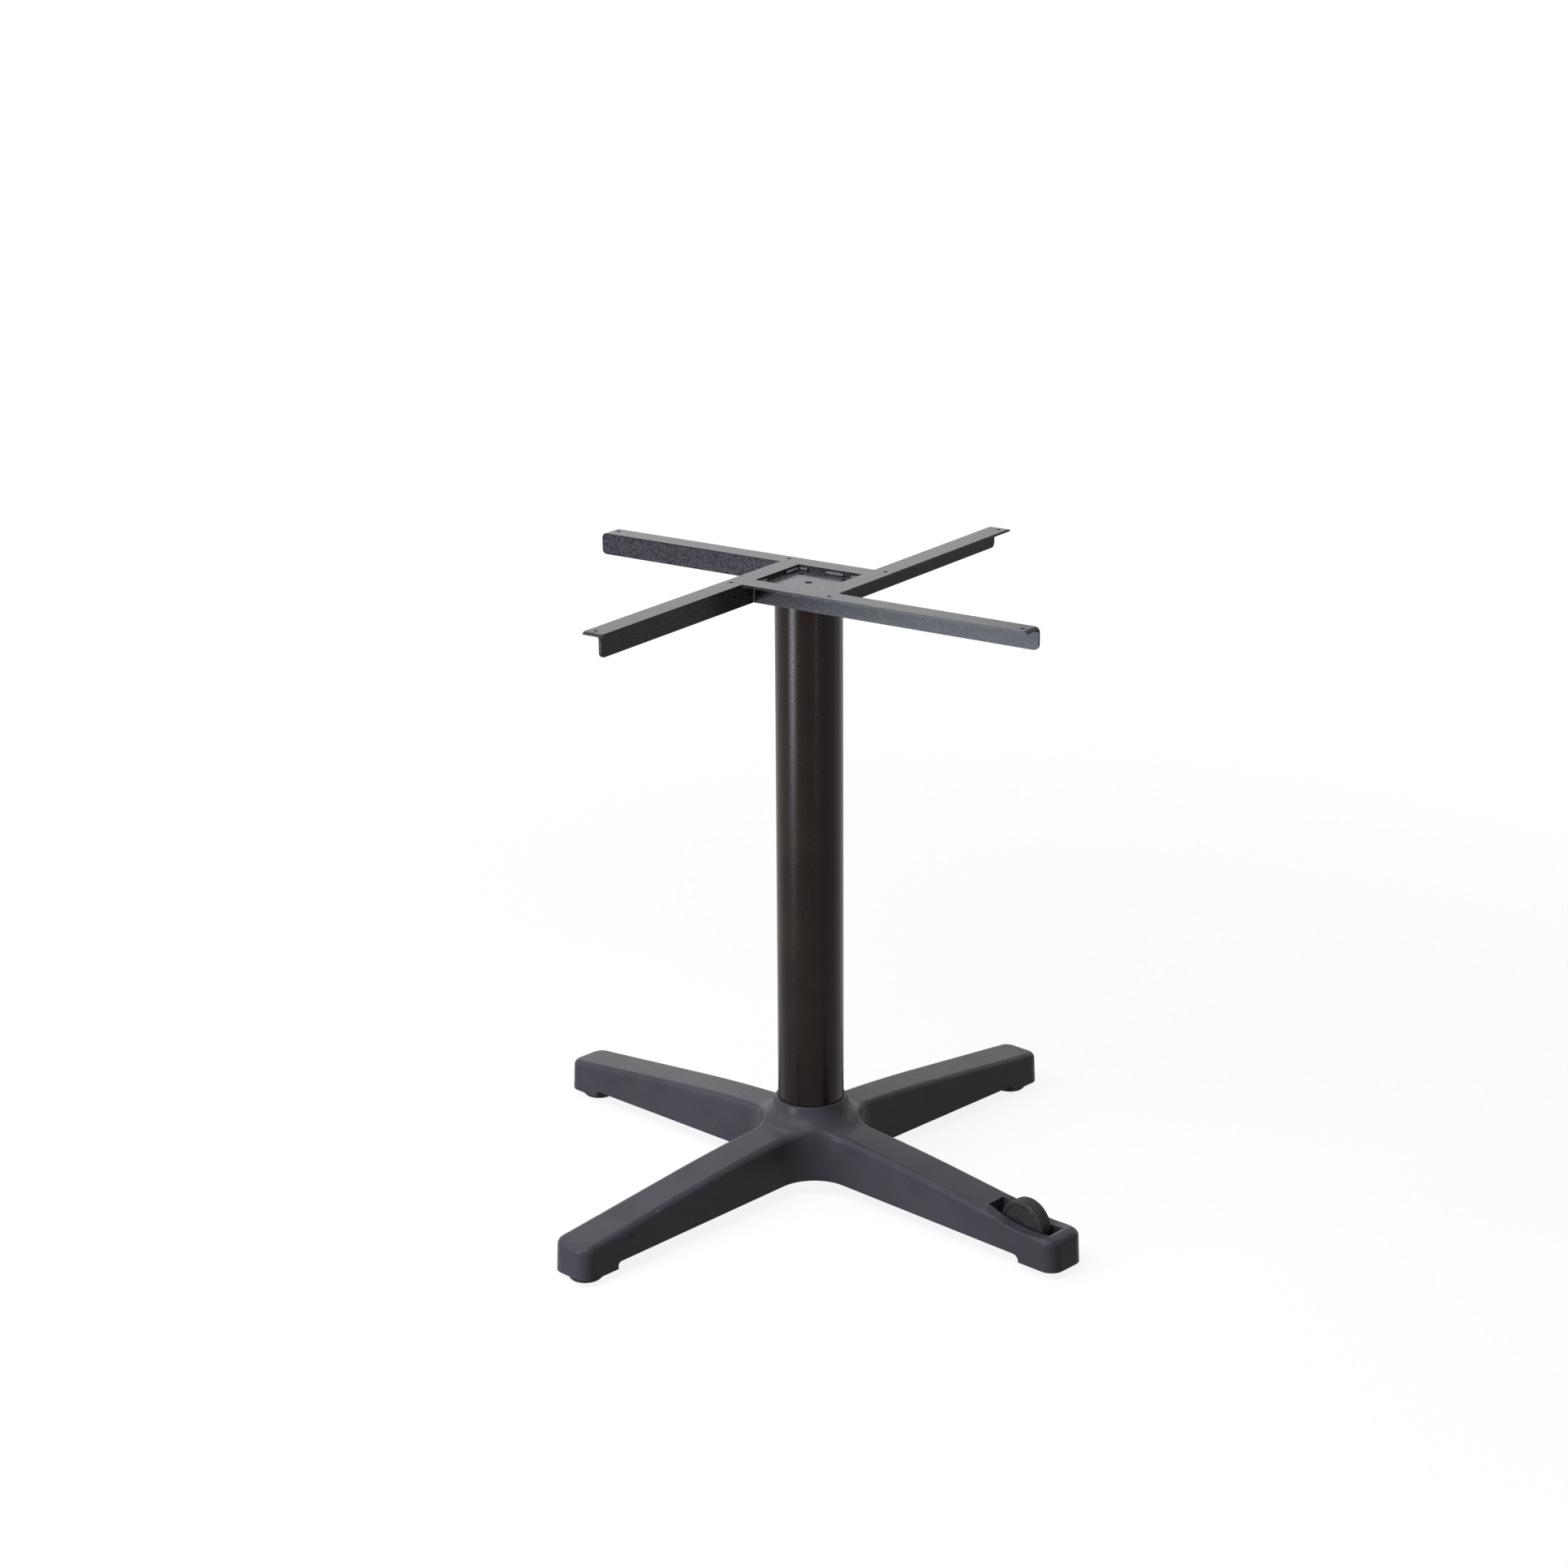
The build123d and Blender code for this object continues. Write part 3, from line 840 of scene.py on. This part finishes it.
    def recipe(self):
        """Knurl teeth in staggered rows round the tread, and a tick between each two numerals."""
        tree = Recipe(
            "knurl", tread_radius="Float", tread_width="Float", teeth="Int", rows="Int",
            tooth_height="Float", ticks="Int", tick_radius="Float", tick_angle="Float", face="Float",
            coat="Material",
        )
        teeth, rows, radius = tree.take("teeth"), tree.take("rows"), tree.take("tread_radius")
        index = tree.node("GeometryNodeInputIndex")
        file = tree.maths("FLOOR", index / rows)
        row = index - file * rows
        around = (file + 0.5 * (row % 2.0)) * (2 * math.pi) / teeth
        pitch = tree.take("tread_width") / rows
        along = (row + 0.5 - rows * 0.5) * pitch
        sunk = radius - tree.take("tooth_height") * 0.25
        points = tree.node(
            "GeometryNodePoints",
            inputs={"Count": teeth * rows, "Position": self.on_circle(tree, around, sunk, along)},
        )
        tooth = tree.node(
            "GeometryNodeMeshCone",
            inputs={"Vertices": 4, "Radius Top": 0.0, "Radius Bottom": 1.0, "Depth": 1.25},
        )
        spread = radius * math.pi / teeth
        scale = tree.vector(spread, pitch, tree.take("tooth_height"))
        knurl = tree.node("GeometryNodeInstanceOnPoints", inputs={
            "Points": points, "Instance": tooth, "Rotation": tree.vector(y=around), "Scale": scale,
        })
        step = tree.take("tick_angle") + index * (2 * math.pi) / tree.take("ticks")
        places = tree.node("GeometryNodePoints", inputs={
            "Count": tree.take("ticks"),
            "Position": self.on_circle(tree, step, tree.take("tick_radius"), tree.take("face")),
        })
        bar = tree.node(
            "GeometryNodeMeshCylinder",
            inputs={"Vertices": 8, "Side Segments": 1, "Radius": 0.35 * MM, "Depth": 2.4 * MM},
        )
        ticks = tree.node("GeometryNodeInstanceOnPoints", inputs={
            "Points": places, "Instance": bar, "Rotation": tree.vector(y=step),
        })
        smooth = tree.node("GeometryNodeSetShadeSmooth", inputs={"Geometry": tree.start})
        both = tree.tree.nodes.new("GeometryNodeJoinGeometry")
        for geometry in (knurl, ticks, smooth):
            tree.tree.links.new(geometry.socket, both.inputs[0])
        tree.finish(Wire(tree, both.outputs[0]), tree.take("coat"))
        return tree

    def on_circle(self, tree, angle, radius, along):
        return tree.vector(tree.maths("SINE", angle) * radius, along, tree.maths("COSINE", angle) * radius)


def area_lamp(name, place, aim, size, glow, tint):
    """A softbox. Its glow is the brightness of its face, where white is 1."""
    lamp = bpy.data.lights.new(name, "AREA")
    lamp.shape = "RECTANGLE"
    lamp.size, lamp.size_y = size
    lamp.energy = glow * math.pi * size[0] * size[1]
    lamp.color = tint
    holder = bpy.data.objects.new(name, lamp)
    bpy.context.scene.collection.objects.link(holder)
    holder.location = place
    holder.rotation_euler = (Vector(aim) - Vector(place)).to_track_quat("-Z", "Y").to_euler()
    holder.visible_camera = False


class TABLEBASE_OT_stage(bpy.types.Operator):
    """Set up the floor, the lamps, the world and the camera"""

    bl_idname = "tablebase.stage"
    bl_label = "Stage"

    lamp_aim = (0, 0, 0.4)
    # Degrees to the right of the camera, distance, height and size in metres, glow, tint
    softboxes = {
        "key_left": (-54, 4.0, 1.30, (0.96, 2.40), 6.0, (0.86, 0.91, 1.0)),
        "front_high": (-40, 1.35, 2.0, (2.0, 1.0), 8.2, (0.92, 0.95, 1.0)),
        "side_left": (-98, 2.3, 1.55, (0.5, 1.2), 5.5, (0.95, 0.97, 1.0)),
        "low_left": (-58, 1.9, 0.19, (0.52, 0.34), 34.0, (0.82, 0.89, 1.0)),
        "strip_right": (23, 1.9, 0.42, (0.05, 0.8), 16.0, (1.0, 0.95, 0.95)),
        "rim_right": (128, 2.6, 1.3, (0.25, 1.4), 5.5, (1.0, 0.88, 0.78)),
        "back_far": (-171, 16.0, 4.70, (8.0, 1.6), 2.15, (1, 1, 1)),
        "overhead": (-25, 0.35, 2.6, (0.6, 0.6), 8.0, (0.97, 0.98, 1.0)),
        "back_high": (-150, 1.6, 2.4, (0.9, 0.9), 5.0, (1.0, 0.98, 0.97)),
    }
    floor_reach = 16.0

    def execute(self, context):
        settings = context.scene.table_base_stage
        turn = Matrix.Rotation(settings.azimuth, 3, "Z")
        self.floor()
        self.world()
        self.lamps(turn)
        self.camera(settings, turn)
        context.scene.view_settings.view_transform = "Standard"
        return {"FINISHED"}

    def lamps(self, turn):
        """Place the softboxes round the camera's direction."""
        for name, (around, distance, height, size, glow, tint) in self.softboxes.items():
            angle = math.radians(around)
            place = turn @ Vector((distance * math.sin(angle), -distance * math.cos(angle), height))
            area_lamp(name, place, self.lamp_aim, size, glow, tint)

    def seen_directly(self, wiring):
        """1 for what the camera sees, straight, in gloss or through glass, else 0."""
        paths = wiring.tree.nodes.new("ShaderNodeLightPath")
        camera, glossy, through = (
            Wire(wiring, paths.outputs[ray])
            for ray in ("Is Camera Ray", "Is Glossy Ray", "Is Transmission Ray")
        )
        return wiring.maths("MAXIMUM", wiring.maths("MAXIMUM", camera, glossy), through)

    def floor(self):
        reach = self.floor_reach
        mesh = bpy.data.meshes.new("floor")
        mesh.from_pydata(
            [(-reach, -reach, 0), (reach, -reach, 0), (reach, reach, 0), (-reach, reach, 0)],
            [], [(0, 1, 2, 3)],
        )
        material = bpy.data.materials.new("pale_floor")
        material.use_nodes = True
        wiring = Wiring(material.node_tree)
        wiring.tree.nodes.clear()
        place = wiring.node("ShaderNodeTexCoord", output="Object")
        distance = wiring.node("ShaderNodeVectorMath", {"operation": "LENGTH"}, {0: place}, "Value")
        # The light falls off with distance, so the white grows to make up for it
        glow = wiring.node("ShaderNodeMapRange", {"interpolation_type": "SMOOTHSTEP"}, {
            "Value": distance, "From Min": 0.7, "From Max": 3.0, "To Min": 0.88, "To Max": 1.0,
        })
        paint = wiring.node("ShaderNodeBsdfDiffuse", inputs={"Color": (0.12, 0.12, 0.12, 1)})
        light = wiring.node("ShaderNodeEmission", inputs={
            "Color": (1, 1, 1, 1), "Strength": glow * self.seen_directly(wiring),
        })
        both = wiring.node("ShaderNodeAddShader", inputs={0: paint, 1: light})
        wiring.node("ShaderNodeOutputMaterial", inputs={"Surface": both}, output=None)
        mesh.materials.append(material)
        floor = new_piece("floor", mesh)
        floor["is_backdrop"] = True

    def world(self):
        world = bpy.data.worlds.new("pale_room")
        bpy.context.scene.world = world
        world.use_nodes = True
        wiring = Wiring(world.node_tree)
        wiring.tree.nodes.clear()
        room = wiring.node("ShaderNodeBackground", inputs={"Color": (1.0, 0.90, 0.84, 1), "Strength": 0.05})
        backdrop = wiring.node("ShaderNodeBackground", inputs={"Color": (1, 1, 1, 1), "Strength": 1.0})
        mix = wiring.node("ShaderNodeMixShader", inputs={0: self.seen_directly(wiring), 1: room, 2: backdrop})
        wiring.node("ShaderNodeOutputWorld", inputs={"Surface": mix}, output=None)

    def camera(self, settings, turn):
        right, level, up = turn @ Vector((1, 0, 0)), turn @ Vector((0, 1, 0)), Vector((0, 0, 1))
        ahead = level * math.cos(settings.pitch) - up * math.sin(settings.pitch)
        above = level * math.sin(settings.pitch) + up * math.cos(settings.pitch)
        side = right * math.cos(settings.roll) + above * math.sin(settings.roll)
        top = above * math.cos(settings.roll) - right * math.sin(settings.roll)
        place = right * settings.aim_side + up * settings.aim_height - ahead * settings.distance
        camera = bpy.data.cameras.new("camera")
        camera.sensor_width = 36
        camera.lens = settings.lens
        camera.clip_end = 60
        holder = new_piece("camera", camera)
        holder.matrix_world = Matrix(
            [[side[i], top[i], -ahead[i], place[i]] for i in range(3)] + [[0, 0, 0, 1]]
        )
        bpy.context.scene.camera = holder


class TABLEBASE_PT_panel(bpy.types.Panel):
    bl_idname = "TABLEBASE_PT_panel"
    bl_label = "Table Base"
    bl_space_type = "VIEW_3D"
    bl_region_type = "UI"
    bl_category = "Table Base"

    def draw(self, context):
        for (name, group), operator in zip(SETTINGS.items(), OPERATORS):
            box = self.layout.box()
            for entry in group.__annotations__:
                box.prop(getattr(context.scene, name), entry)
            box.operator(operator.bl_idname)


SETTINGS = {
    "table_base_moulding": MouldingSettings,
    "table_base_column": ColumnSettings,
    "table_base_frame": FrameSettings,
    "table_base_welds": WeldSettings,
    "table_base_wheel": WheelSettings,
    "table_base_stage": StageSettings,
}
OPERATORS = [
    TABLEBASE_OT_foot,
    TABLEBASE_OT_column,
    TABLEBASE_OT_top_frame,
    TABLEBASE_OT_welds,
    TABLEBASE_OT_wheel,
    TABLEBASE_OT_stage,
]


def register():
    for group in SETTINGS.values():
        bpy.utils.register_class(group)
    for operator in OPERATORS + [TABLEBASE_PT_panel]:
        bpy.utils.register_class(operator)
    for name, group in SETTINGS.items():
        setattr(bpy.types.Scene, name, PointerProperty(type=group))


def unregister():
    for name in SETTINGS:
        delattr(bpy.types.Scene, name)
    for operator in [TABLEBASE_PT_panel] + OPERATORS:
        bpy.utils.unregister_class(operator)
    for group in SETTINGS.values():
        bpy.utils.unregister_class(group)


def main():
    register()
    bpy.ops.tablebase.foot()
    bpy.ops.tablebase.column()
    bpy.ops.tablebase.top_frame()
    bpy.ops.tablebase.welds()
    bpy.ops.tablebase.wheel()
    bpy.ops.tablebase.stage()
    boxes = {"cad": cad_box, "visual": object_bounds()}
    {name: [list(corner) for corner in box] for name, box in boxes.items()}


if __name__ == "__main__":
    main()
